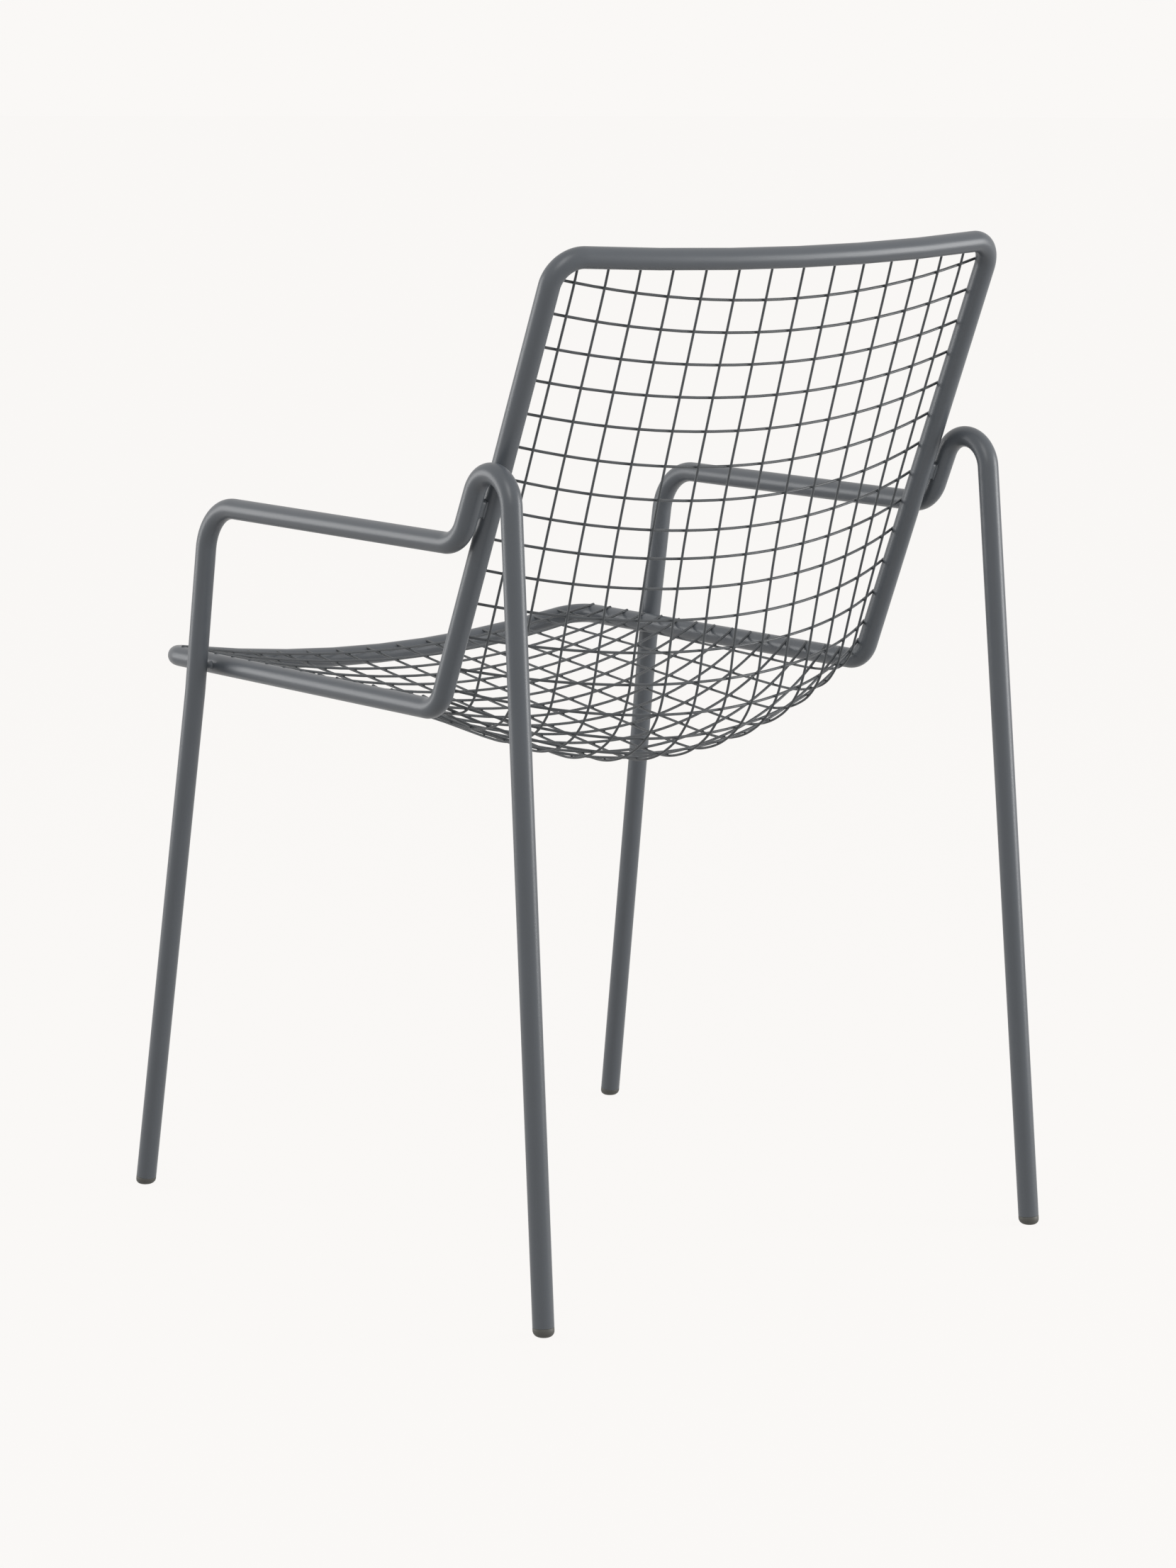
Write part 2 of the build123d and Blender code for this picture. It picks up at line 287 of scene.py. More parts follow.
@dataclass(frozen=True)
class GlidePlastic:
    """Matt moulded plastic, scuffed pale where it meets the floor.

    Attributes:
        scuff: Its colour where it is worn.
        grain: Size of the grain.
        scratch: Size of the scuff's patches.
        scuff_height: How high over the floor the wear goes.
        grain_depth: Depth of the grain.
        wear: The least wear at the floor, and what the patches add.
        dull: What full wear adds to the roughness.
        uneven: How far the grain changes the roughness.
        layers: Finer layers in the grain and in the patches.
    """

    name: str = "glide_plastic"
    colour: Colour = (0.060, 0.060, 0.054)
    scuff: Colour = (0.125, 0.122, 0.108)
    roughness: float = 0.55
    grain: float = 0.0006
    scratch: float = 0.0025
    scuff_height: float = 0.0022
    grain_depth: float = 0.00005
    wear: tuple[float, float] = (0.4, 1.2)
    dull: float = 0.2
    uneven: float = 0.08
    layers: tuple[float, float] = (2.0, 4.0)

    def material(self) -> bpy.types.Material:
        """Make the finish.

        Returns:
            The material.
        """
        made, graph = start_material(self.name)
        place = graph.place()
        height = graph.value("ShaderNodeSeparateXYZ", {"Vector": place}, "Z")
        sizes = (self.grain, self.scratch)
        grain, scratch = (graph.noise(place, size, layers) for size, layers in zip(sizes, self.layers))
        low = (1 - height * (1 / self.scuff_height)).at_least(0.0)
        least, patches = self.wear
        worn = (low * (least + patches * scratch)).at_most(1.0)
        graph.surface({
            "Base Color": graph.blend(worn, self.colour, self.scuff),
            "Roughness": self.roughness + self.dull * worn + self.uneven * (grain - 0.5),
            "Normal": graph.bump(grain, self.grain_depth),
        })
        return made


@dataclass(frozen=True)
class BareSteel:
    """Plain drawn steel with faint lengthwise streaks, for what is inside a tube.

    Attributes:
        streak: Width of a streak.
        draw: How much the streaks are drawn out along the tube.
        uneven: How far the streaks change the roughness.
        layers: Finer layers in the streaks.
    """

    name: str = "bare_steel"
    colour: Colour = (0.30, 0.30, 0.30)
    roughness: float = 0.38
    streak: float = 0.002
    draw: float = 20.0
    uneven: float = 0.2
    layers: float = 3.0

    def material(self) -> bpy.types.Material:
        """Make the finish.

        Returns:
            The material.
        """
        made, graph = start_material(self.name)
        sockets = {"Vector": graph.place(), "Scale": (1 / self.draw, 1.0, 1.0)}
        drawn = graph.node("ShaderNodeMapping", {}, sockets).outputs["Vector"]
        streaks = graph.noise(drawn, self.streak, self.layers)
        graph.surface({
            "Base Color": opaque(self.colour),
            "Metallic": 1.0,
            "Roughness": self.roughness + self.uneven * (streaks - 0.5),
        })
        return made


@dataclass
class Finishes:
    """The chair's materials, each with the name of the slot that it stands for."""

    frame: bpy.types.Material
    wire: bpy.types.Material
    glide: bpy.types.Material
    steel: bpy.types.Material

    FRAME_SLOT = "frame_coat"
    WIRE_SLOT = "wire_coat"
    GLIDE_SLOT = "glide_plastic"

    @classmethod
    def make(cls) -> "Finishes":
        """Make all the materials.

        Returns:
            The materials.
        """
        return cls(
            frame=PowderCoat("frame_coat").material(),
            # Painted shade: the wires wear the frame's own powder coat, painted darker to stand for the shade
            # on the thin wires and their dark outlines.
            wire=PowderCoat(
                "wire_coat", colour=(0.058, 0.064, 0.070), speckle=0.0004, peel_depth=0.00004, shine=0.36
            ).material(),
            glide=GlidePlastic().material(),
            steel=BareSteel().material(),
        )


@dataclass(frozen=True)
class Stock:
    """The tube and wire that the chair is bent from, in metres.

    Attributes:
        tube_d: The tube's diameter.
        tube_wall: Its wall.
        long_wire_d: Diameter of the long wires.
        cross_wire_d: Diameter of the cross wires.
        cross_sink: How deep a cross wire lies in the tube.
        long_sink: How deep a long wire runs into its rail.
        weld_gap: Free space at a weld.
        crossing_gap: Free space between two wires that cross.
        tube_sides: Sides of a tube's mesh.
        wire_sides: Sides of a wire's mesh.
    """

    tube_d: float = 0.0165
    tube_wall: float = 0.0015
    long_wire_d: float = 0.0020
    cross_wire_d: float = 0.0022
    cross_sink: float = 0.0010
    long_sink: float = 0.0022
    weld_gap: float = 0.00008
    crossing_gap: float = 0.0002
    tube_sides: int = 48
    wire_sides: int = 14

    @property
    def tube_r(self) -> float:
        """The tube's outer radius."""
        return self.tube_d / 2

    @property
    def long_reach(self) -> float:
        """From a tube's axis to the axis of a long wire that is welded to it."""
        return self.tube_r + self.long_wire_d / 2 - self.long_sink

    @property
    def cross_reach(self) -> float:
        """From a tube's axis to the axis of a cross wire that is welded to it."""
        return self.shell_reach - self.cross_sink

    @property
    def shell_reach(self) -> float:
        """From a rail's axis to the shell's middle line, which lies on the rail."""
        return self.tube_r + self.cross_wire_d / 2

    @property
    def stack(self) -> float:
        """From a cross wire's axis to the axis of a long wire that crosses it."""
        return (self.long_wire_d + self.cross_wire_d) / 2 + self.crossing_gap


@dataclass(frozen=True)
class Run:
    """A straight stretch of a bar: its start, direction and length."""

    start: Vector
    heading: Vector
    length: float

    def at(self, distance: float) -> tuple[Vector, Vector]:
        """Give the point and the direction at a distance from the start."""
        return self.start + self.heading * distance, self.heading


@dataclass(frozen=True)
class Bend:
    """A round bend of a bar: its start, directions along and to the centre, axis radius and turn."""

    start: Vector
    heading: Vector
    inward: Vector
    radius: float
    angle: float

    @property
    def length(self) -> float:
        """Length along the axis."""
        return self.radius * self.angle

    @property
    def centre(self) -> Vector:
        """The centre that it turns about."""
        return self.start + self.inward * self.radius

    @property
    def axis(self) -> Vector:
        """The line that it turns about."""
        return self.heading.cross(self.inward)

    def at(self, distance: float) -> tuple[Vector, Vector]:
        """Give a place along the way.

        Args:
            distance: The distance from the start.

        Returns:
            The point and the direction there.
        """
        turn = distance / self.radius
        point = self.centre + (self.heading * sin(turn) - self.inward * cos(turn)) * self.radius
        return point, self.heading * cos(turn) + self.inward * sin(turn)


@dataclass
class Route:
    """A bar's axis of runs and bends that join smoothly, with the point and direction it has got to."""

    point: Vector
    heading: Vector
    moves: list[Union[Run, Bend]] = field(default_factory=list)

    def add(self, move: Union[Run, Bend]) -> None:
        """Append a move and go to its end."""
        self.moves.append(move)
        self.point, self.heading = move.at(move.length)

    def straight(self, length: float) -> None:
        """Go straight on for a length."""
        self.add(Run(self.point, self.heading, length))

    def bend(self, radius: float, toward: Vector, angle: float) -> None:
        """Turn toward a direction, by an angle, round a bend of a radius."""
        inward = (toward - self.heading * toward.dot(self.heading)).normalized()
        self.add(Bend(self.point, self.heading, inward, radius, angle))

    @classmethod
    def rounded(cls, corners: Sequence[Vector], radii: Sequence[float]) -> "Route":
        """Run through corners that are each rounded.

        Args:
            corners: The ends and the corners between them.
            radii: The radius at each inner corner.

        Returns:
            The route.
        """
        legs = [after - before for before, after in zip(corners, corners[1:])]
        turns = [turn_between(before, after) for before, after in zip(legs, legs[1:])]
        cuts = [0.0, *(radius * tan(turn / 2) for radius, turn in zip(radii, turns)), 0.0]
        route = cls(corners[0].copy(), legs[0].normalized())
        for step, leg in enumerate(legs):
            route.straight(leg.length - cuts[step] - cuts[step + 1])
            if step < len(turns):
                route.bend(radii[step], legs[step + 1], turns[step])
        return route

    @property
    def length(self) -> float:
        """Length of the whole route."""
        return sum(move.length for move in self.moves)

    def at(self, distance: float) -> tuple[Vector, Vector]:
        """Give a place along the way.

        Args:
            distance: The distance from the start.

        Returns:
            The point and the direction there.
        """
        for move in self.moves[:-1]:
            if distance <= move.length:
                return move.at(distance)
            distance -= move.length
        return self.moves[-1].at(distance)


class Shape:
    """A mesh under construction, which becomes one named piece of the chair."""

    def __init__(self) -> None:
        """Start empty."""
        self.bm = bmesh.new()

    def sweep(self, route: Route, radius: float, sides: int, step: float) -> tuple[list, list]:
        """Draw a round bar along a route: extruded runs and spun bends.

        Args:
            route: The bar's axis.
            radius: The bar's radius.
            sides: Sides of the bar.
            step: The largest turn between two rings, in radians.

        Returns:
            The edges of the first and the last ring.
        """
        first = route.moves[0]
        upright = first.heading.to_track_quat("Z", "Y").to_matrix().to_4x4()
        ring = bmesh.ops.create_circle(
            self.bm, segments=sides, radius=radius, matrix=Matrix.Translation(first.start) @ upright
        )["verts"]
        edges = [edge for edge in self.bm.edges if edge.verts[0] in ring]
        start = edges
        for move in route.moves:
            if isinstance(move, Run):
                grown = bmesh.ops.extrude_edge_only(self.bm, edges=edges)["geom"]
                verts = [item for item in grown if isinstance(item, bmesh.types.BMVert)]
                bmesh.ops.translate(self.bm, verts=verts, vec=move.heading * move.length)
            else:
                grown = bmesh.ops.spin(
                    self.bm, geom=edges, cent=move.centre, axis=move.axis, angle=move.angle,
                    steps=max(1, ceil(move.angle / step)), use_merge=False, use_duplicate=False,
                )["geom_last"]
            edges = [item for item in grown if isinstance(item, bmesh.types.BMEdge)]
        return start, edges

    def close(self, edges: Sequence[bmesh.types.BMEdge], end: TubeEnd, stock: Stock, depth: float) -> None:
        """Close an open ring.

        Args:
            edges: The ring's edges.
            end: How the end is finished.
            stock: The tube and wire in use.
            depth: A bored end's depth, or a rounded end's edge radius.
        """
        cap = bmesh.ops.contextual_create(self.bm, geom=list(edges))["faces"]
        if end is TubeEnd.ROUNDED:
            self.soften(cap[0].edges, depth, TIP_SEGMENTS)
            return
        bmesh.ops.recalc_face_normals(self.bm, faces=self.bm.faces)
        bmesh.ops.inset_region(self.bm, faces=cap, thickness=stock.tube_wall, use_even_offset=True)
        inward = -cap[0].normal
        floor = bmesh.ops.extrude_discrete_faces(self.bm, faces=cap)["faces"]
        bmesh.ops.translate(self.bm, verts=list(floor[0].verts), vec=inward * depth)

    def soften(self, edges: Iterable[bmesh.types.BMEdge], radius: float, segments: int) -> None:
        """Round edges off.

        Args:
            edges: The edges.
            radius: How far the rounding goes.
            segments: Steps across it.
        """
        bmesh.ops.bevel(
            self.bm, geom=list(edges), offset=radius, segments=segments, profile=0.5, affect="EDGES",
            material=-1, clamp_overlap=True,
        )

    def lathe(self, outline: Sequence[Vector], centre: Vector, axis: Vector, sides: int) -> None:
        """Turn an outline once round an axis.

        Args:
            outline: The points of the outline.
            centre: A point on the axis.
            axis: The axis.
            sides: Steps of the turn.
        """
        verts = [self.bm.verts.new(point) for point in outline]
        edges = [self.bm.edges.new(pair) for pair in zip(verts, verts[1:])]
        bmesh.ops.spin(
            self.bm, geom=[*verts, *edges], cent=centre, axis=axis, angle=2 * pi, steps=sides,
            use_merge=True, use_duplicate=False,
        )
        bmesh.ops.remove_doubles(self.bm, verts=self.bm.verts, dist=SAME_POINT)

    def bead(self, place: Matrix, rings: int, sides: int) -> None:
        """Add a lump of weld: a ball of radius 1, turned and stretched into its place."""
        bmesh.ops.create_uvsphere(self.bm, u_segments=sides, v_segments=rings, radius=1.0, matrix=place)

    def finish(
        self,
        name: str,
        material: bpy.types.Material,
        slot: str,
        nodes: Sequence[str] = (),
        side: Side = Side.LEFT,
    ) -> None:
        """Turn the shape into a piece that rides on the chair.

        Args:
            name: The piece's name.
            material: Its finish.
            slot: Not used.
            nodes: The solids that it stands for.
            side: On the right the shape is mirrored first.
        """
        if side is Side.RIGHT:
            bmesh.ops.transform(self.bm, matrix=MIRROR_X, verts=self.bm.verts)
        bmesh.ops.recalc_face_normals(self.bm, faces=self.bm.faces)
        mesh = bpy.data.meshes.new(name)
        self.bm.to_mesh(mesh)
        self.bm.free()
        mesh.shade_smooth()
        mesh.set_sharp_from_angle(angle=SHARP_ANGLE)
        mesh.materials.append(material)
        piece = bpy.data.objects.new(name, mesh)
        bpy.context.scene.collection.objects.link(piece)
        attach(piece, BODY)
        if nodes:
            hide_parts(*nodes)
        log.info("%s: %d faces", name, len(mesh.polygons))


def basis(along: Vector, facing: Vector, point: Vector, stretch: tuple[float, float, float]) -> Matrix:
    """Place a unit ball as a weld bead.

    Args:
        along: The bead's long direction.
        facing: Away from the surface.
        point: Its middle.
        stretch: Half sizes along, across and away from the surface.

    Returns:
        The transform.
    """
    away = (facing - along * facing.dot(along)).normalized()
    turned = Matrix((along, away.cross(along), away)).transposed().to_4x4()
    return Matrix.Translation(point) @ turned @ Matrix.Diagonal((*stretch, 1.0))


def graze(corner: Vector, centre: Vector, reach: float, side: int) -> Vector:
    """Find where a line from a corner grazes a round bar seen end on.

    Args:
        corner: Where the line comes from.
        centre: The bar's axis.
        reach: From the axis to the line.
        side: Which way round the bar, 1 or -1.

    Returns:
        The point where it grazes.
    """
    away = corner - centre
    angle = atan2(away.z, away.y) + side * acos(reach / away.length)
    return centre + Vector((0, cos(angle), sin(angle))) * reach


def share(start: Any, end: Any, part: float) -> Any:
    """Go part of the way from a start to an end."""
    return start + (end - start) * part


def turn_between(arriving: Vector, leaving: Vector) -> float:
    """Give the angle between two directions, exact for small ones too."""
    return atan2(arriving.cross(leaving).length, arriving.dot(leaving))


@dataclass
class SeatBackFrame:
    """The loop of tube round the seat and the back.

    Attributes:
        stock: The tube and wire in use.
        seat_x: Half the loop's width, on the tube's axis.
        seat_z: Height of the seat rails.
        front_y: The front rail.
        heel_y: Where the rails turn up into the back.
        top_y: The top rail's depth.
        top_z: The top rail's height at its corners.
        bend_r: Radius of the loop's bends.
        top_bow: How far the top rail bows to the rear.
        front_dip: How far the front rail dips.
        ring_step: Turn between two rings of the mesh.
    """

    stock: Stock
    seat_x: float = 0.216
    seat_z: float = 0.446
    front_y: float = -0.2768
    heel_y: float = 0.103
    top_y: float = 0.2492
    top_z: float = 0.7958
    bend_r: float = 0.024
    top_bow: float = 0.017
    front_dip: float = 0.019
    ring_step: float = radians(3.0)

    def __post_init__(self) -> None:
        """Work out the loop's lengths and the route of its left half."""
        self.top_corner = Vector((0, self.top_y, self.top_z))
        self.heel = Vector((0, self.heel_y, self.seat_z))
        fall = self.heel - self.top_corner
        self.upright_length = fall.length
        self.seat_length = self.heel_y - self.front_y
        self.down = fall.normalized()
        self.sitter = self.down.cross(X_AXIS)
        heel_turn = acos(-self.down.y)
        self.heel_cut = self.bend_r * tan(heel_turn / 2)
        top_angle = 2 * atan(self.top_bow / (self.seat_x + self.bend_r))
        dip_angle = 2 * atan(self.front_dip / (self.seat_x + self.bend_r))
        self.top_rail_r = (self.seat_x - self.bend_r * cos(top_angle)) / sin(top_angle)
        self.front_rail_r = (self.seat_x - self.bend_r * cos(dip_angle)) / sin(dip_angle)
        upright_run = self.upright_length - self.bend_r - self.heel_cut
        self.upright_start = self.top_rail_r * top_angle + self.bend_r * pi / 2
        self.seat_start = self.upright_start + upright_run + self.bend_r * heel_turn
        self.top_middle = self.top_corner - self.sitter * self.top_bow
        self.front_middle = Vector((0, self.front_y, self.seat_z - self.front_dip))
        rim = Route(self.top_middle, X_AXIS)
        rim.bend(self.top_rail_r, self.sitter, top_angle)
        rim.bend(self.bend_r, self.down, pi / 2)
        rim.straight(upright_run)
        rim.bend(self.bend_r, self.sitter, heel_turn)
        rim.straight(self.seat_length - self.heel_cut - self.bend_r)
        rim.bend(self.bend_r, -X_AXIS * cos(dip_angle) - Z_AXIS * sin(dip_angle), pi / 2)
        rim.bend(self.front_rail_r, -X_AXIS, dip_angle)
        self.rim = rim

    def upright_at(self, height: float) -> Vector:
        """Give the left upright's axis at a height."""
        lean = self.down.y / self.down.z
        return Vector((self.seat_x, self.heel_y + lean * (height - self.seat_z), height))

    def build(self, finishes: Finishes) -> None:
        """Sweep the left half, mirror it and join the halves at both rails.

        Args:
            finishes: The chair's materials.
        """
        shape = Shape()
        shape.sweep(self.rim, self.stock.tube_r, self.stock.tube_sides, self.ring_step)
        bmesh.ops.mirror(
            shape.bm, geom=[*shape.bm.verts, *shape.bm.edges, *shape.bm.faces], matrix=Matrix.Identity(4),
            axis="X", merge_dist=SEAM_WIDTH,
        )
        bmesh.ops.remove_doubles(shape.bm, verts=shape.bm.verts, dist=SEAM_WIDTH)
        shape.finish("seat_back_loop", finishes.frame, finishes.FRAME_SLOT, ["seat_back_frame"])


@dataclass
class SideFrame:
    """One bent tube at each side: front leg, arm, riser, loop and rear leg.

    Attributes:
        stock: The tube and wire in use.
        seat: The loop that it is welded to.
        gap: Free space between the two tubes.
        foot_splay: How far the feet stand out from the arm.
        splay_drop: How far under the seat rails the legs start to splay.
        front_foot_y: The front foot.
        rear_foot_y: The rear foot.
        arm_z: Height of the arm.
        arm_front_y: The arm's front corner.
        loop_back: From the arm's rear corner back to the loop's corner.
        loop_rise: From the arm's rear corner up to the loop's corner.
        bends: Radii at the splay, the arm, the riser and the loop.
        glide_cap: Height of the glide's cap along the leg.
        bore_depth: How far the tube's end is left open for the glide's plug.
        ring_step: Turn between two rings of the mesh.
    """

    stock: Stock
    seat: SeatBackFrame
    gap: float = 0.0045
    foot_splay: float = 0.0125
    splay_drop: float = 0.020
    front_foot_y: float = -0.270
    rear_foot_y: float = 0.277
    arm_z: float = 0.5795
    arm_front_y: float = -0.178
    loop_back: float = 0.0576
    loop_rise: float = 0.1295
    bends: tuple[float, float, float, float] = (0.150, 0.0425, 0.028, 0.0247)
    glide_cap: float = 0.007
    bore_depth: float = 0.026
    ring_step: float = radians(3.0)

    def __post_init__(self) -> None:
        """Work out the corners and the route of the left frame."""
        self.side_x = self.seat.seat_x + self.stock.tube_d + self.gap
        foot_x = self.side_x + self.foot_splay
        self.front_foot = Vector((foot_x, self.front_foot_y, 0))
        self.rear_foot = Vector((foot_x, self.rear_foot_y, 0))
        self.splay = self.front_leg_at(self.seat.seat_z - self.splay_drop)
        self.arm_front = self.front_leg_at(self.arm_z)
        self.arm_rear = Vector((self.side_x, self.seat.upright_at(self.arm_z).y, self.arm_z))
        loop_top = self.arm_rear + Vector((0, self.loop_back, self.loop_rise))
        self.front_leg = (self.splay - self.front_foot).normalized()
        self.rear_leg = (loop_top - self.rear_foot).normalized()
        self.riser = (loop_top - self.arm_rear).normalized()
        corners = [
            self.front_foot + self.front_leg * self.glide_cap,
            self.splay,
            self.arm_front,
            self.arm_rear,
            loop_top,
            self.rear_foot + self.rear_leg * self.glide_cap,
        ]
        self.route = Route.rounded(corners, self.bends)

    def front_leg_at(self, height: float) -> Vector:
        """Give the upper front leg's axis at a height."""
        return Vector((self.side_x, share(self.front_foot_y, self.arm_front_y, height / self.arm_z), height))

    def build(self, finishes: Finishes) -> None:
        """Sweep both side frames, their ends open for the glides.

        Args:
            finishes: The chair's materials.
        """
        for side in Side:
            shape = Shape()
            ends = shape.sweep(self.route, self.stock.tube_r, self.stock.tube_sides, self.ring_step)
            for ring in ends:
                shape.close(ring, TubeEnd.BORED, self.stock, self.bore_depth)
            name = f"{side.value}_side"
            shape.finish(f"{name}_tube", finishes.frame, finishes.FRAME_SLOT, [f"{name}_frame"], side)


@dataclass
class Spacers:
    """The short pieces that join a side frame to the seat loop, with their weld beads.

    Attributes:
        stock: The tube and wire in use.
        seat: The seat loop.
        frame: The side frame.
        riser_rise: Height of the riser's spacer over the arm.
        riser_length: Its length along the tubes.
        riser_depth: Its depth.
        rod_d: Diameter of the front leg's spacer.
        sink: How far a spacer's end runs into the weld.
        edge_r: Rounding of the block's edges.
        edge_segments: Steps across that rounding.
        block_weld: Half width and half height of the weld along the block.
        rod_weld: The rod's flare: how far from the tube, and how far it stands out.
        weld_sides: Sides and rings of a weld's mesh.
        rod_sides: Sides of the rod's mesh.
    """

    stock: Stock
    seat: SeatBackFrame
    frame: SideFrame
    riser_rise: float = 0.0275
    riser_length: float = 0.015
    riser_depth: float = 0.007
    rod_d: float = 0.006
    sink: float = 0.0008
    edge_r: float = 0.0028
    edge_segments: int = 5
    block_weld: tuple[float, float] = (0.00165, 0.00055)
    rod_weld: Sequence[tuple[float, float]] = ((-0.0008, 0.00077), (0.00044, 0.000495), (0.00132, 0.0))
    weld_sides: int = 12
    rod_sides: int = 32

    def block(self) -> Shape:
        """Make the block between riser and upright, with a weld along each side of it.

        Returns:
            The left block.
        """
        on_upright = self.seat.upright_at(self.frame.arm_z + self.riser_rise)
        on_riser = self.frame.arm_rear + self.frame.riser * (self.riser_rise / self.frame.riser.z)
        across = on_riser - on_upright
        width = across.length - 2 * self.stock.tube_r + 2 * self.sink
        out = across.normalized()
        up = (-self.seat.down - out * -self.seat.down.dot(out)).normalized()
        rear = up.cross(out)
        turned = Matrix((out, up, rear)).transposed().to_4x4()
        centre = (on_upright + on_riser) / 2
        size = Matrix.Diagonal((width, self.riser_length, self.riser_depth, 1.0))
        shape = Shape()
        bmesh.ops.create_cube(shape.bm, size=1.0, matrix=Matrix.Translation(centre) @ turned @ size)
        ends = {edge: [vert.co for vert in edge.verts] for edge in shape.bm.edges}
        bars = [edge for edge, (first, last) in ends.items() if (last - first).cross(out).length < self.sink]
        shape.soften(bars, self.edge_r, self.edge_segments)
        for end in (-1, 1):
            for face in (-1, 1):
                foot = centre + out * (end * (width / 2 - self.sink)) + rear * (face * self.riser_depth / 2)
                place = basis(up, rear * face, foot, (self.riser_length / 2, *self.block_weld))
                shape.bead(place, self.weld_sides, self.weld_sides)
        return shape

    def rod(self) -> Shape:
        """Make the round spacer between front leg and seat rail, flared by its welds.

        Returns:
            The left spacer.
        """
        on_leg = self.frame.front_leg_at(self.seat.seat_z)
        half = (on_leg.x - self.seat.seat_x) / 2 - self.stock.tube_r
        middle = Vector(((on_leg.x + self.seat.seat_x) / 2, on_leg.y, on_leg.z))
        flare = [(away - half, self.rod_d / 2 + stand) for away, stand in self.rod_weld]
        flare += [(-x, radius) for x, radius in reversed(flare)]
        shape = Shape()
        outline = [middle + Vector((x, radius, 0)) for x, radius in flare]
        shape.lathe(outline, middle, X_AXIS, self.rod_sides)
        bmesh.ops.holes_fill(shape.bm, edges=shape.bm.edges, sides=0)
        return shape

    def build(self, finishes: Finishes) -> None:
        """Make the four spacers.

        Args:
            finishes: The chair's materials.
        """
        makers = (("riser", "block", self.block), ("leg", "rod", self.rod))
        for side in Side:
            for place, kind, make in makers:
                name = f"{side.value}_{place}"
                make().finish(f"{name}_{kind}", finishes.frame, finishes.FRAME_SLOT, [f"{name}_spacer"], side)


@dataclass
class FootGlides:
    """Plastic caps on the four legs, cut level by the floor.

    Attributes:
        stock: The tube and wire in use.
        frame: The side frame.
        edge_r: Rounding of the sole.
        edge_segments: Steps across that rounding.
        stub: Length of the cap before the floor cuts it.
        lip: Chamfer of the shoulder, which leaves a fine groove under the tube.
        plug_length: How far the plug reaches into the tube.
        plug_gap: Free space round the plug.
        rib_depth: How far the plug is cut back between its ribs.
        ribs: Ribs on the plug.
        rib_steps: Where a rib starts and where it is full, as shares of a rib's pitch under its top.
    """

    stock: Stock
    frame: SideFrame
    edge_r: float = 0.0045
    edge_segments: int = 8
    stub: float = 0.0175
    lip: float = 0.0002
    plug_length: float = 0.020
    plug_gap: float = 0.0001
    rib_depth: float = 0.0012
    ribs: int = 3
    rib_steps: tuple[float, float] = (0.35, 0.30)

    def profile(self) -> list[tuple[float, float]]:
        """Give the glide's outline above the sole.

        Returns:
            Radius and height over the shoulder, from below the floor to the plug's tip.
        """
        tube_r = self.stock.tube_r
        plug_r = tube_r - self.stock.tube_wall - self.plug_gap
        core_r = plug_r - self.rib_depth
        outline = [(tube_r, -self.stub), (tube_r, -self.lip), (tube_r - self.lip, 0.0)]
        pitch = self.plug_length / self.ribs
        start, full = (part * pitch for part in self.rib_steps)
        for rib in range(self.ribs):
            top = pitch * (rib + 1)
            outline += [(core_r, top - pitch), (core_r, top - start)]
            outline += [(plug_r, top - full), (plug_r, top - self.lip)]
        return [*outline, (core_r, self.plug_length)]

    def glide(self, foot: Vector, leg: Vector) -> Shape:
        """Make one glide.

        Args:
            foot: Where the leg's axis meets the floor.
            leg: The direction up the leg.

        Returns:
            The glide.
        """
        shape = Shape()
        outline = [Vector((radius, 0, height)) for radius, height in self.profile()]
        shape.lathe(outline, Vector(), Z_AXIS, self.stock.tube_sides)
        shoulder = foot + leg * (self.frame.glide_cap - self.stock.weld_gap)
        turned = leg.to_track_quat("Z", "Y").to_matrix().to_4x4()
        bmesh.ops.transform(shape.bm, matrix=Matrix.Translation(shoulder) @ turned, verts=shape.bm.verts)
        cut = bmesh.ops.bisect_plane(
            shape.bm, geom=[*shape.bm.verts, *shape.bm.edges, *shape.bm.faces], dist=SAME_POINT,
            plane_co=(0, 0, 0), plane_no=Z_AXIS, clear_inner=True,
        )["geom_cut"]
        rim = [item for item in cut if isinstance(item, bmesh.types.BMEdge)]
        sole = bmesh.ops.contextual_create(shape.bm, geom=rim)["faces"]
        shape.soften(sole[0].edges, self.edge_r, self.edge_segments)
        bmesh.ops.holes_fill(shape.bm, edges=shape.bm.edges, sides=0)
        return shape

    def build(self, finishes: Finishes) -> None:
        """Make the four glides.

        Args:
            finishes: The chair's materials.
        """
        feet = {
            "front": (self.frame.front_foot, self.frame.front_leg),
            "rear": (self.frame.rear_foot, self.frame.rear_leg),
        }
        for end, (foot, leg) in feet.items():
            for side in Side:
                self.glide(foot, leg).finish(
                    f"{end}_{side.value}_foot", finishes.glide, finishes.GLIDE_SLOT,
                    [f"{end}_{side.value}_glide"], side,
                )


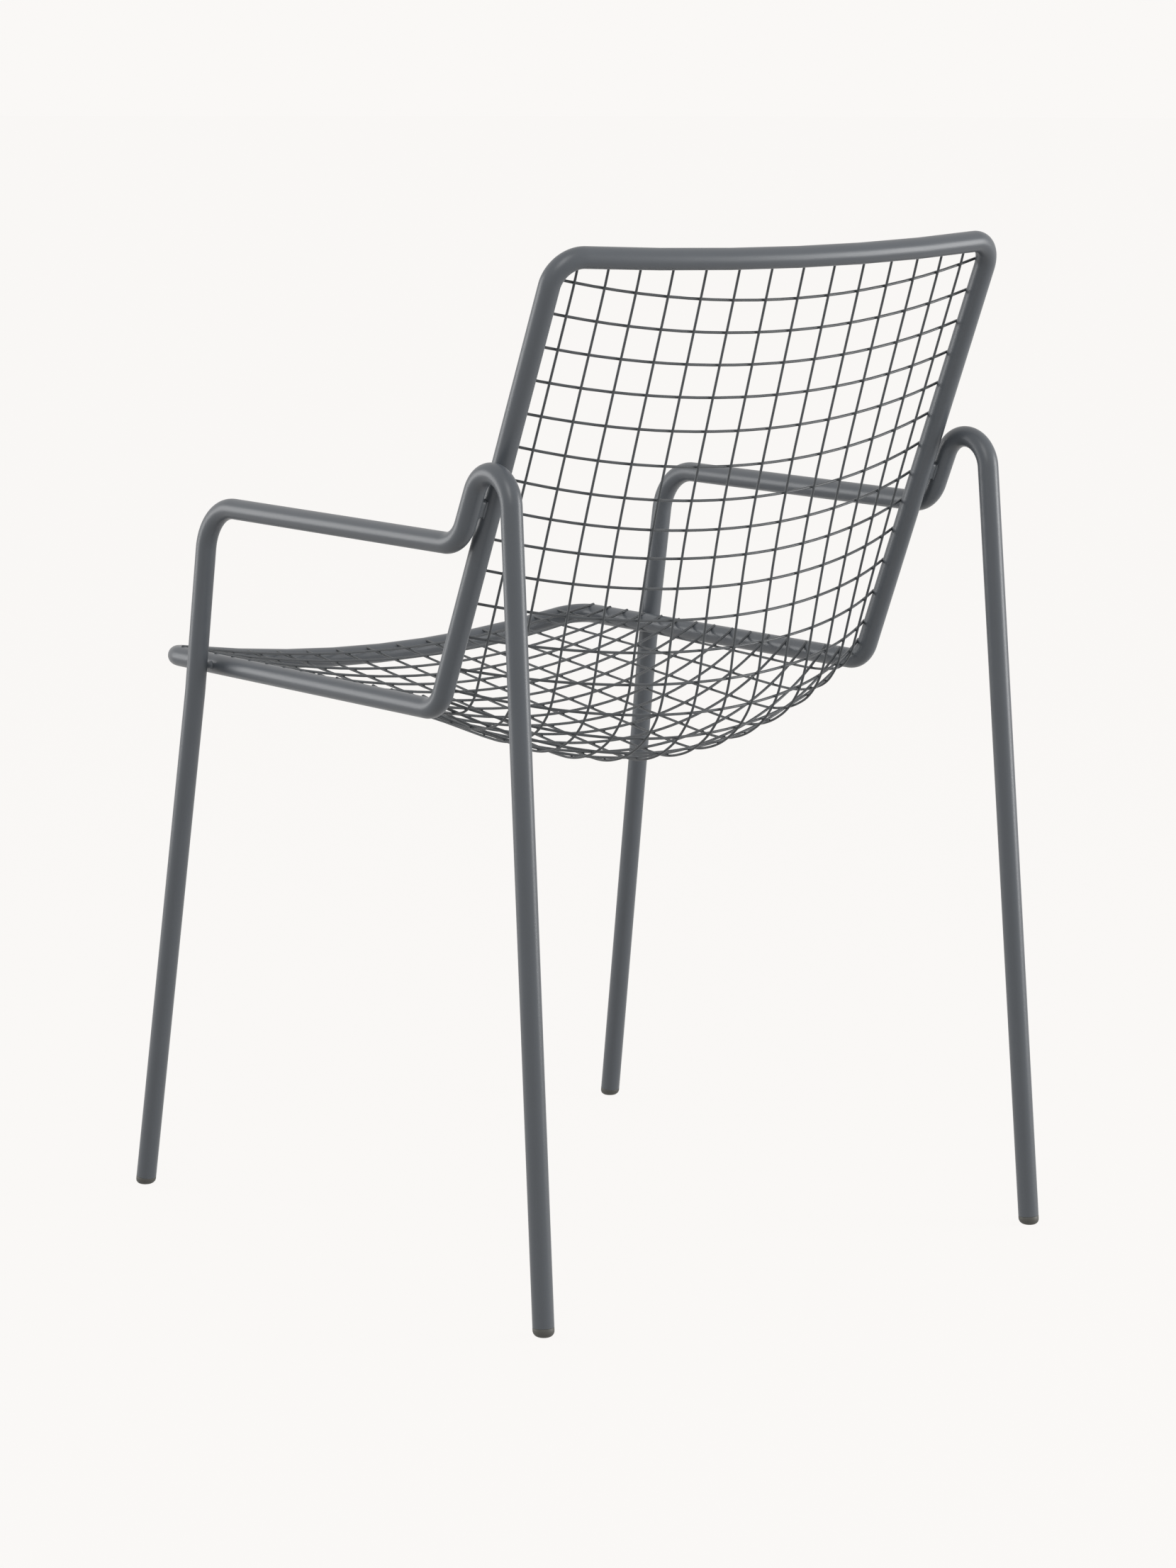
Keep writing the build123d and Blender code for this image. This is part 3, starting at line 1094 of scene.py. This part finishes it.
class CrossWire:
    """A wire from side to side that hangs in an arc between its two ends."""

    TOUCH_ROUNDS = 12

    def __init__(self, axis: Vector, along: Vector, middle: Vector, stock: Stock) -> None:
        """Settle where the ends graze the tubes on the sitter's side.

        Args:
            axis: The left tube's axis where the wire ends.
            along: The tube's direction there.
            middle: The wire's lowest point, on the chair's middle plane.
            stock: The tube and wire in use.
        """
        facing = along.cross(X_AXIS).normalized()
        inward = along.cross(facing)
        touch = 0.0
        for _ in range(self.TOUCH_ROUNDS):
            self.out = facing * cos(touch) + inward * sin(touch)
            self.end = axis + self.out * stock.cross_reach
            hang = Vector((0, middle.y - self.end.y, middle.z - self.end.z))
            self.sag = hang.length
            self.hang = hang.normalized()
            self.turn = 2 * atan(self.sag / self.end.x)
            touch = atan(-tan(self.turn) * self.hang.dot(facing))
        self.radius = (self.end.x**2 + self.sag**2) / (2 * self.sag)

    def at(self, x: float) -> Vector:
        """Give the wire's axis at a distance from the chair's middle."""
        depth = sqrt(self.radius**2 - x**2) - self.radius + self.sag
        return Vector((x, self.end.y, self.end.z)) + self.hang * depth

    def heading(self, x: float) -> Vector:
        """Give the wire's direction at a distance from the chair's middle."""
        slope = asin(x / self.radius)
        return X_AXIS * cos(slope) - self.hang * sin(slope)

    def route(self, lap: float) -> Route:
        """Give the wire's route from left to right.

        Args:
            lap: How far the ends run on over the tubes.

        Returns:
            The route.
        """
        half_turn = self.turn + lap / self.radius
        tip_x = self.radius * sin(half_turn)
        route = Route(self.at(tip_x), -self.heading(tip_x))
        route.bend(self.radius, -self.hang, 2 * half_turn)
        return route


@dataclass
class WireShell:
    """The seat and back of crossed wires, welded to the loop and to each other.

    Attributes:
        stock: The tube and wire in use.
        seat: The loop that carries the wires.
        lumbar_rise: Height of the back's corner over the seat rails.
        lumbar_back: How far that corner lies behind the uprights.
        lumbar_r: Rounding of that corner.
        belly_back: How far the belly's corner lies behind the heel.
        belly_drop: How far it lies under the seat rails.
        belly_r: Rounding of the belly.
        back_steps: Steps of cross wires on the back.
        heel_steps: Steps round the heel.
        seat_steps: Steps along the seat.
        edge_top: From the loop's top corner to the first wire's end.
        edge_above_heel: From the heel up to the back's last wire.
        edge_past_heel: From the heel on to the seat's first wire.
        edge_front: From the last wire's end to the front corner.
        mid_top: From the top rail to the first wire's middle.
        mid_front: From the last wire's middle to the front rail.
        cross_lap: How far a cross wire's end runs on over its tube.
        edge_slip: How far the wires' ends are drawn out of even spacing.
        edge_slip_step: At which step.
        mid_slip: How far the wires' middles are drawn out of even spacing.
        mid_slip_step: At which step.
        slip_spread: Over how many steps the slips fade.
        long_pairs: Long wires each side of the middle.
        long_inset: From the loop's corner bend in to the outermost long wire.
        long_fan: How the long wires' spacing narrows toward the sides.
        run_share: A bend's share of the run beside it.
        straight: A turn so small that the wire runs straight on.
        ring_step: Turn between two rings of the mesh.
        tip: Rounding of a wire's end, as a share of its diameter.
        end_weld: Half sizes of the weld at a wire's end, as shares of its diameter.
        end_weld_mesh: Rings and sides of that weld.
        nugget: Half sizes of the weld between two wires.
        nugget_mesh: Rings and sides of that weld.
    """

    stock: Stock
    seat: SeatBackFrame
    lumbar_rise: float = 0.1314
    lumbar_back: float = 0.0325
    lumbar_r: float = 0.980
    belly_back: float = 0.0523
    belly_drop: float = 0.0688
    belly_r: float = 0.084
    back_steps: int = 12
    heel_steps: int = 4
    seat_steps: int = 13
    edge_top: float = 0.0197
    edge_above_heel: float = 0.0332
    edge_past_heel: float = 0.0416
    edge_front: float = 0.024
    mid_top: float = 0.0369
    mid_front: float = 0.022
    cross_lap: float = 0.0025
    edge_slip: float = -0.0045
    edge_slip_step: float = 8.8
    mid_slip: float = 0.007
    mid_slip_step: float = 6.0
    slip_spread: float = 1.85
    long_pairs: int = 7
    long_inset: float = 0.0004
    long_fan: float = 0.0985
    run_share: float = 0.45
    straight: float = radians(0.01)
    ring_step: float = radians(1.5)
    tip: float = 0.45
    end_weld: tuple[float, float, float] = (1.3, 0.72, 0.30)
    end_weld_mesh: tuple[int, int] = (8, 12)
    nugget: tuple[float, float, float] = (0.0009, 0.0009, 0.0006)
    nugget_mesh: tuple[int, int] = (5, 8)

    def __post_init__(self) -> None:
        """Work out the shell's middle line and its cross wires."""
        seat, reach = self.seat, self.stock.shell_reach
        corner_z = seat.seat_z + self.lumbar_rise
        lumbar = Vector((0, seat.upright_at(corner_z).y + self.lumbar_back, corner_z))
        belly = seat.heel + Vector((0, self.belly_back, -self.belly_drop))
        start = graze(lumbar, seat.top_middle, reach, -1)
        end = graze(belly, seat.front_middle, reach, 1)
        self.guide = Route.rounded([start, lumbar, belly, end], [self.lumbar_r, self.belly_r])
        self.belly_start = sum(move.length for move in self.guide.moves[:3])
        self.steps = self.back_steps + self.heel_steps + self.seat_steps
        self.cross_wires = [self.cross_wire(step) for step in range(self.steps + 1)]

    def slip(self, step: int, amount: float, middle: float) -> float:
        """Draw a step out of even spacing, the most at the middle and less to both sides."""
        return amount * exp(-(((step - middle) / self.slip_spread) ** 2))

    def edge_station(self, step: int) -> float:
        """Find where a cross wire ends.

        Args:
            step: The wire's step.

        Returns:
            The distance along the loop.
        """
        seat = self.seat
        upright = seat.upright_start - seat.bend_r
        rail = seat.seat_start - seat.heel_cut
        above_heel = upright + seat.upright_length - self.edge_above_heel
        past_heel = rail + self.edge_past_heel
        if step <= self.back_steps:
            even = share(upright + self.edge_top, above_heel, step / self.back_steps)
            return even + self.slip(step, self.edge_slip, self.edge_slip_step)
        step -= self.back_steps
        if step <= self.heel_steps:
            return share(above_heel, past_heel, step / self.heel_steps)
        last = rail + seat.seat_length - self.edge_front
        return share(past_heel, last, (step - self.heel_steps) / self.seat_steps)

    def middle_station(self, step: int) -> float:
        """Find where a cross wire's middle hangs.

        Args:
            step: The wire's step.

        Returns:
            The distance along the shell's middle line.
        """
        if step <= self.back_steps:
            even = share(self.mid_top, self.belly_start, step / self.back_steps)
            return even + self.slip(step, self.mid_slip, self.mid_slip_step)
        part = (step - self.back_steps) / (self.steps - self.back_steps)
        return share(self.belly_start, self.guide.length - self.mid_front, part)

    def cross_wire(self, step: int) -> CrossWire:
        """Work out one cross wire.

        Args:
            step: The wire's step, from the top.

        Returns:
            The wire.
        """
        axis, along = self.seat.rim.at(self.edge_station(step))
        middle, _ = self.guide.at(self.middle_station(step))
        return CrossWire(axis, along, middle, self.stock)

    def long_places(self) -> list[float]:
        """Space out the long wires of the left half.

        Returns:
            Their distances from the chair's middle.
        """
        outer = self.seat.seat_x - self.seat.bend_r - self.long_inset
        fan_r = outer / sin((self.long_pairs - 0.5) * self.long_fan)
        return [fan_r * sin((pair + 0.5) * self.long_fan) for pair in range(self.long_pairs)]

    def bend_at(self, before: Vector, point: Vector, after: Vector) -> tuple[float, Vector]:
        """Round a corner.

        Args:
            before: The point before it.
            point: The corner.
            after: The point after it.

        Returns:
            The bend's radius, and how far its crown lies inside the corner.
        """
        arriving, leaving = point - before, after - point
        half_turn = turn_between(arriving, leaving) / 2
        radius = self.run_share * min(arriving.length, leaving.length) / tan(half_turn)
        crown = (arriving.normalized() - leaving.normalized()).normalized()
        return radius, crown * (radius / cos(half_turn) - radius)

    def smooth(self, points: Sequence[Vector]) -> Route:
        """Run through points in a rounded route, each bend's crown on its point.

        Args:
            points: The points in order.

        Returns:
            The route.
        """
        corners = [points[0]]
        for point, after in zip(points[1:], points[2:]):
            if turn_between(point - corners[-1], after - point) > self.straight:
                corners.append(point)
        corners.append(points[-1])
        inner = [three[1] + self.bend_at(*three)[1] for three in zip(corners, corners[1:], corners[2:])]
        crowned = [corners[0], *inner, corners[-1]]
        radii = [self.bend_at(*three)[0] for three in zip(crowned, crowned[1:], crowned[2:])]
        return Route.rounded(crowned, radii)

    def rails_at(self, x: float) -> tuple[tuple[Vector, float], tuple[Vector, float]]:
        """Find both rails where a long wire meets them.

        Args:
            x: The wire's distance from the chair's middle.

        Returns:
            The axis and the lean of the top rail, then of the front rail.
        """
        seat = self.seat
        top_lean, front_lean = asin(x / seat.top_rail_r), asin(x / seat.front_rail_r)
        top = seat.top_middle + seat.sitter * (seat.top_rail_r * (1 - cos(top_lean))) + X_AXIS * x
        front = seat.front_middle + Z_AXIS * (seat.front_rail_r * (1 - cos(front_lean))) + X_AXIS * x
        return (top, top_lean), (front, front_lean)

    def crossings(self, x: float) -> list[tuple[Vector, Vector, Vector]]:
        """Find where a long wire passes under the cross wires.

        Args:
            x: The wire's distance from the chair's middle.

        Returns:
            For each crossing the cross wire's axis, the long wire's axis and the direction along.
        """
        (top, _), (front, _) = self.rails_at(x)
        upper = [wire.at(x) for wire in self.cross_wires]
        found = []
        for before, point, after, wire in zip([top, *upper], upper, [*upper[1:], front], self.cross_wires):
            along = (after - before).normalized()
            facing = along.cross(X_AXIS).normalized()
            apart = along.cross(wire.heading(x)).normalized()
            found.append((point, point - facing * (self.stock.stack / facing.dot(apart)), along))
        return found

    def long_route(self, x: float) -> tuple[Route, list[tuple[Vector, Vector, Vector]]]:
        """Work out one long wire.

        Args:
            x: The wire's distance from the chair's middle.

        Returns:
            Its route, and the point, direction and outward side of its two welds.
        """
        stock = self.stock
        points = [under for _, under, _ in self.crossings(x)]
        depth = sqrt(stock.tube_r**2 - stock.long_reach**2)
        ends = []
        welds = []
        for (axis, lean), last, side in zip(self.rails_at(x), (points[0], points[-1]), (-1, 1)):
            end = graze(last, axis, stock.long_reach / cos(lean), side)
            along = (end - last).normalized()
            entry = end - along * (depth / cos(lean))
            ends.append(end)
            welds.append((entry, along, (entry - axis).normalized()))
        return self.smooth([ends[0], *points, ends[1]]), welds

    def wire(self, route: Route, diameter: float) -> Shape:
        """Sweep a wire with both ends rounded.

        Args:
            route: The wire's axis.
            diameter: Its diameter.

        Returns:
            The wire.
        """
        shape = Shape()
        for ring in shape.sweep(route, diameter / 2, self.stock.wire_sides, self.ring_step):
            shape.close(ring, TubeEnd.ROUNDED, self.stock, self.tip * diameter)
        return shape

    def end_bead(self, shape: Shape, point: Vector, along: Vector, out: Vector, diameter: float) -> None:
        """Add the weld at a wire's end, at a point on the tube."""
        stretch = tuple(size * diameter for size in self.end_weld)
        shape.bead(basis(along, out, point, stretch), *self.end_weld_mesh)

    def build(self, finishes: Finishes) -> None:
        """Make every wire with its end welds, then the welds where wires cross.

        Args:
            finishes: The chair's materials.
        """
        stock = self.stock
        for step, cross in enumerate(self.cross_wires):
            shape = self.wire(cross.route(self.cross_lap), stock.cross_wire_d)
            for flip in (1, -1):
                mirror = Vector((flip, 1, 1))
                foot = cross.end - cross.out * (stock.cross_reach - stock.tube_r)
                self.end_bead(
                    shape, foot * mirror, cross.heading(cross.end.x) * mirror, cross.out * mirror,
                    stock.cross_wire_d,
                )
            name = f"cross_wire_{step + 1:02d}"
            shape.finish(f"coated_{name}", finishes.wire, finishes.WIRE_SLOT, [name])
        nuggets = Shape()
        for pair, x in enumerate(self.long_places()):
            route, welds = self.long_route(x)
            for side in Side:
                shape = self.wire(route, stock.long_wire_d)
                for point, along, out in welds:
                    self.end_bead(shape, point, along, out, stock.long_wire_d)
                number = self.long_pairs - pair if side is Side.LEFT else self.long_pairs + 1 + pair
                name = f"long_wire_{number:02d}"
                shape.finish(f"coated_{name}", finishes.wire, finishes.WIRE_SLOT, [name], side)
            for over, under, along in self.crossings(x):
                place = basis(along, over - under, (over + under) / 2, self.nugget)
                nuggets.bead(place, *self.nugget_mesh)
                nuggets.bead(MIRROR_X @ place, *self.nugget_mesh)
        nuggets.finish("crossing_welds", finishes.wire, finishes.WIRE_SLOT)


@dataclass
class Lamp:
    """A soft panel of light that hangs at a place and points at its aim."""

    name: str
    place: tuple[float, float, float]
    aim: tuple[float, float, float]
    width: float
    height: float
    watts: float

    def build(self) -> None:
        """Hang the lamp."""
        data = bpy.data.lights.new(self.name, "AREA")
        data.shape = "RECTANGLE"
        data.size = self.width
        data.size_y = self.height
        data.energy = self.watts
        lamp = bpy.data.objects.new(self.name, data)
        lamp.location = self.place
        aim = Vector(self.aim) - Vector(self.place)
        lamp.rotation_euler = aim.to_track_quat("-Z", "Y").to_euler()
        bpy.context.scene.collection.objects.link(lamp)


@dataclass
class Studio:
    """A pale floor, soft light and the photograph's camera.

    Attributes:
        floor_r: Radius of the floor.
        floor_drop: How far it lies under the glides, so that no two faces meet.
        floor_sides: Sides of its mesh.
        white: The background's colour.
        floor: How much light the floor gives back.
        veil: How much of the floor is plain white to the camera, over its shadows.
        lift: How much brighter than the background that white is, to make up for the rest of the floor.
        sky: Strength of the light from all round.
        camera_place: The camera's place.
        camera_turn: Turn from the room to the camera's right, down and forward, as an axis times an angle.
        focal_px: Focal length in pixels of the photograph.
        photo_px: The photograph's height in pixels.
        sensor: Height of the camera's sensor in millimetres.
        sight: How far the camera sees.
        lamps: The panels of light.
    """

    floor_r: float = 40.0
    floor_drop: float = 0.0003
    floor_sides: int = 96
    white: Colour = (0.956, 0.939, 0.922)
    floor: float = 0.35
    veil: float = 0.93
    lift: float = 0.045
    sky: float = 0.87
    camera_place: tuple[float, float, float] = (2.1520, 2.7368, 0.9662)
    camera_turn: tuple[float, float, float] = (0.6967, 2.0113, -1.6862)
    focal_px: float = 6129.3
    photo_px: float = 2212.0
    sensor: float = 36.0
    sight: float = 200.0
    lamps: Sequence[Lamp] = (
        Lamp("left_panel", (1.67, -1.86, 0.75), (0.0, 0.0, 0.55), 1.2, 1.3, 23.0),
        Lamp("right_panel", (-1.90, 1.62, 0.75), (0.0, 0.0, 0.55), 1.0, 1.3, 39.0),
        Lamp("upper_panel", (1.37, 1.32, 2.05), (0.0, 0.0, 0.55), 0.8, 1.3, 17.0),
    )

    def seen(self, graph: Graph) -> Signal:
        """Tell what the camera sees, directly or in gloss, from what only gives light.

        Args:
            graph: The graph to add to.

        Returns:
            1 where it is seen.
        """
        path = graph.node("ShaderNodeLightPath")
        kinds = ("Camera", "Glossy", "Transmission")
        camera, gloss, glass = (Signal(graph, path.outputs[f"Is {kind} Ray"]) for kind in kinds)
        return camera.at_least(gloss).at_least(glass)

    def build_floor(self) -> None:
        """Lay the floor, mostly plain white to the camera so that only soft shadows show."""
        bm = bmesh.new()
        bmesh.ops.create_circle(bm, cap_ends=True, segments=self.floor_sides, radius=self.floor_r)
        mesh = bpy.data.meshes.new("floor")
        bm.to_mesh(mesh)
        bm.free()
        finish, graph = start_material("pale_floor")
        matt = graph.node("ShaderNodeBsdfDiffuse", {}, {"Color": opaque(shaded(self.white, self.floor - 1))})
        lifted = opaque(shaded(self.white, self.lift))
        glow = graph.node("ShaderNodeEmission", {}, {"Color": lifted, "Strength": 1.0})
        sockets = {0: self.seen(graph) * self.veil, 1: matt.outputs[0], 2: glow.outputs[0]}
        mixed = graph.node("ShaderNodeMixShader", {}, sockets)
        graph.node("ShaderNodeOutputMaterial", {}, {"Surface": mixed.outputs[0]})
        mesh.materials.append(finish)
        floor = bpy.data.objects.new("floor", mesh)
        floor.location.z = -self.floor_drop
        bpy.context.scene.collection.objects.link(floor)

    def build_sky(self) -> None:
        """Surround the chair with soft light and a white background."""
        world = bpy.data.worlds.new("studio")
        bpy.context.scene.world = world
        world.use_nodes = True
        graph = Graph(world.node_tree)
        strength = self.sky + (1.0 - self.sky) * self.seen(graph)
        glow = graph.node("ShaderNodeBackground", {}, {"Color": opaque(self.white), "Strength": strength})
        graph.node("ShaderNodeOutputWorld", {}, {"Surface": glow.outputs[0]})

    def build_camera(self) -> None:
        """Set the camera where the photograph was taken."""
        data = bpy.data.cameras.new("camera")
        data.sensor_width = self.sensor
        data.lens = self.focal_px / self.photo_px * self.sensor
        data.clip_end = self.sight
        turn = Vector(self.camera_turn)
        right, down, forward = Quaternion(turn.normalized(), turn.length).to_matrix()
        camera = bpy.data.objects.new("camera", data)
        facing = Matrix((right, -down, -forward)).transposed().to_4x4()
        camera.matrix_world = Matrix.Translation(self.camera_place) @ facing
        bpy.context.scene.collection.objects.link(camera)
        bpy.context.scene.camera = camera

    def build(self) -> None:
        """Set up the whole studio."""
        self.build_floor()
        self.build_sky()
        self.build_camera()
        for lamp in self.lamps:
            lamp.build()
        bpy.context.scene.view_settings.view_transform = "Standard"


def main() -> None:
    """Load the solids, build each part of the chair over them, logging each piece's faces, and set up the
    studio.
    """
    logging.basicConfig(level=logging.INFO, format="%(name)s %(message)s")
    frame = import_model()
    stock = Stock()
    seat = SeatBackFrame(stock)
    side = SideFrame(stock, seat)
    finishes = Finishes.make()
    sleeve = frame["nodes"]["frame_joint_sleeve"]
    sleeve.data.materials.clear()
    sleeve.data.materials.append(finishes.steel)
    for part in (seat, side, Spacers(stock, seat, side), FootGlides(stock, side), WireShell(stock, seat)):
        part.build(finishes)
    Studio().build()


if __name__ == "__main__":
    main()
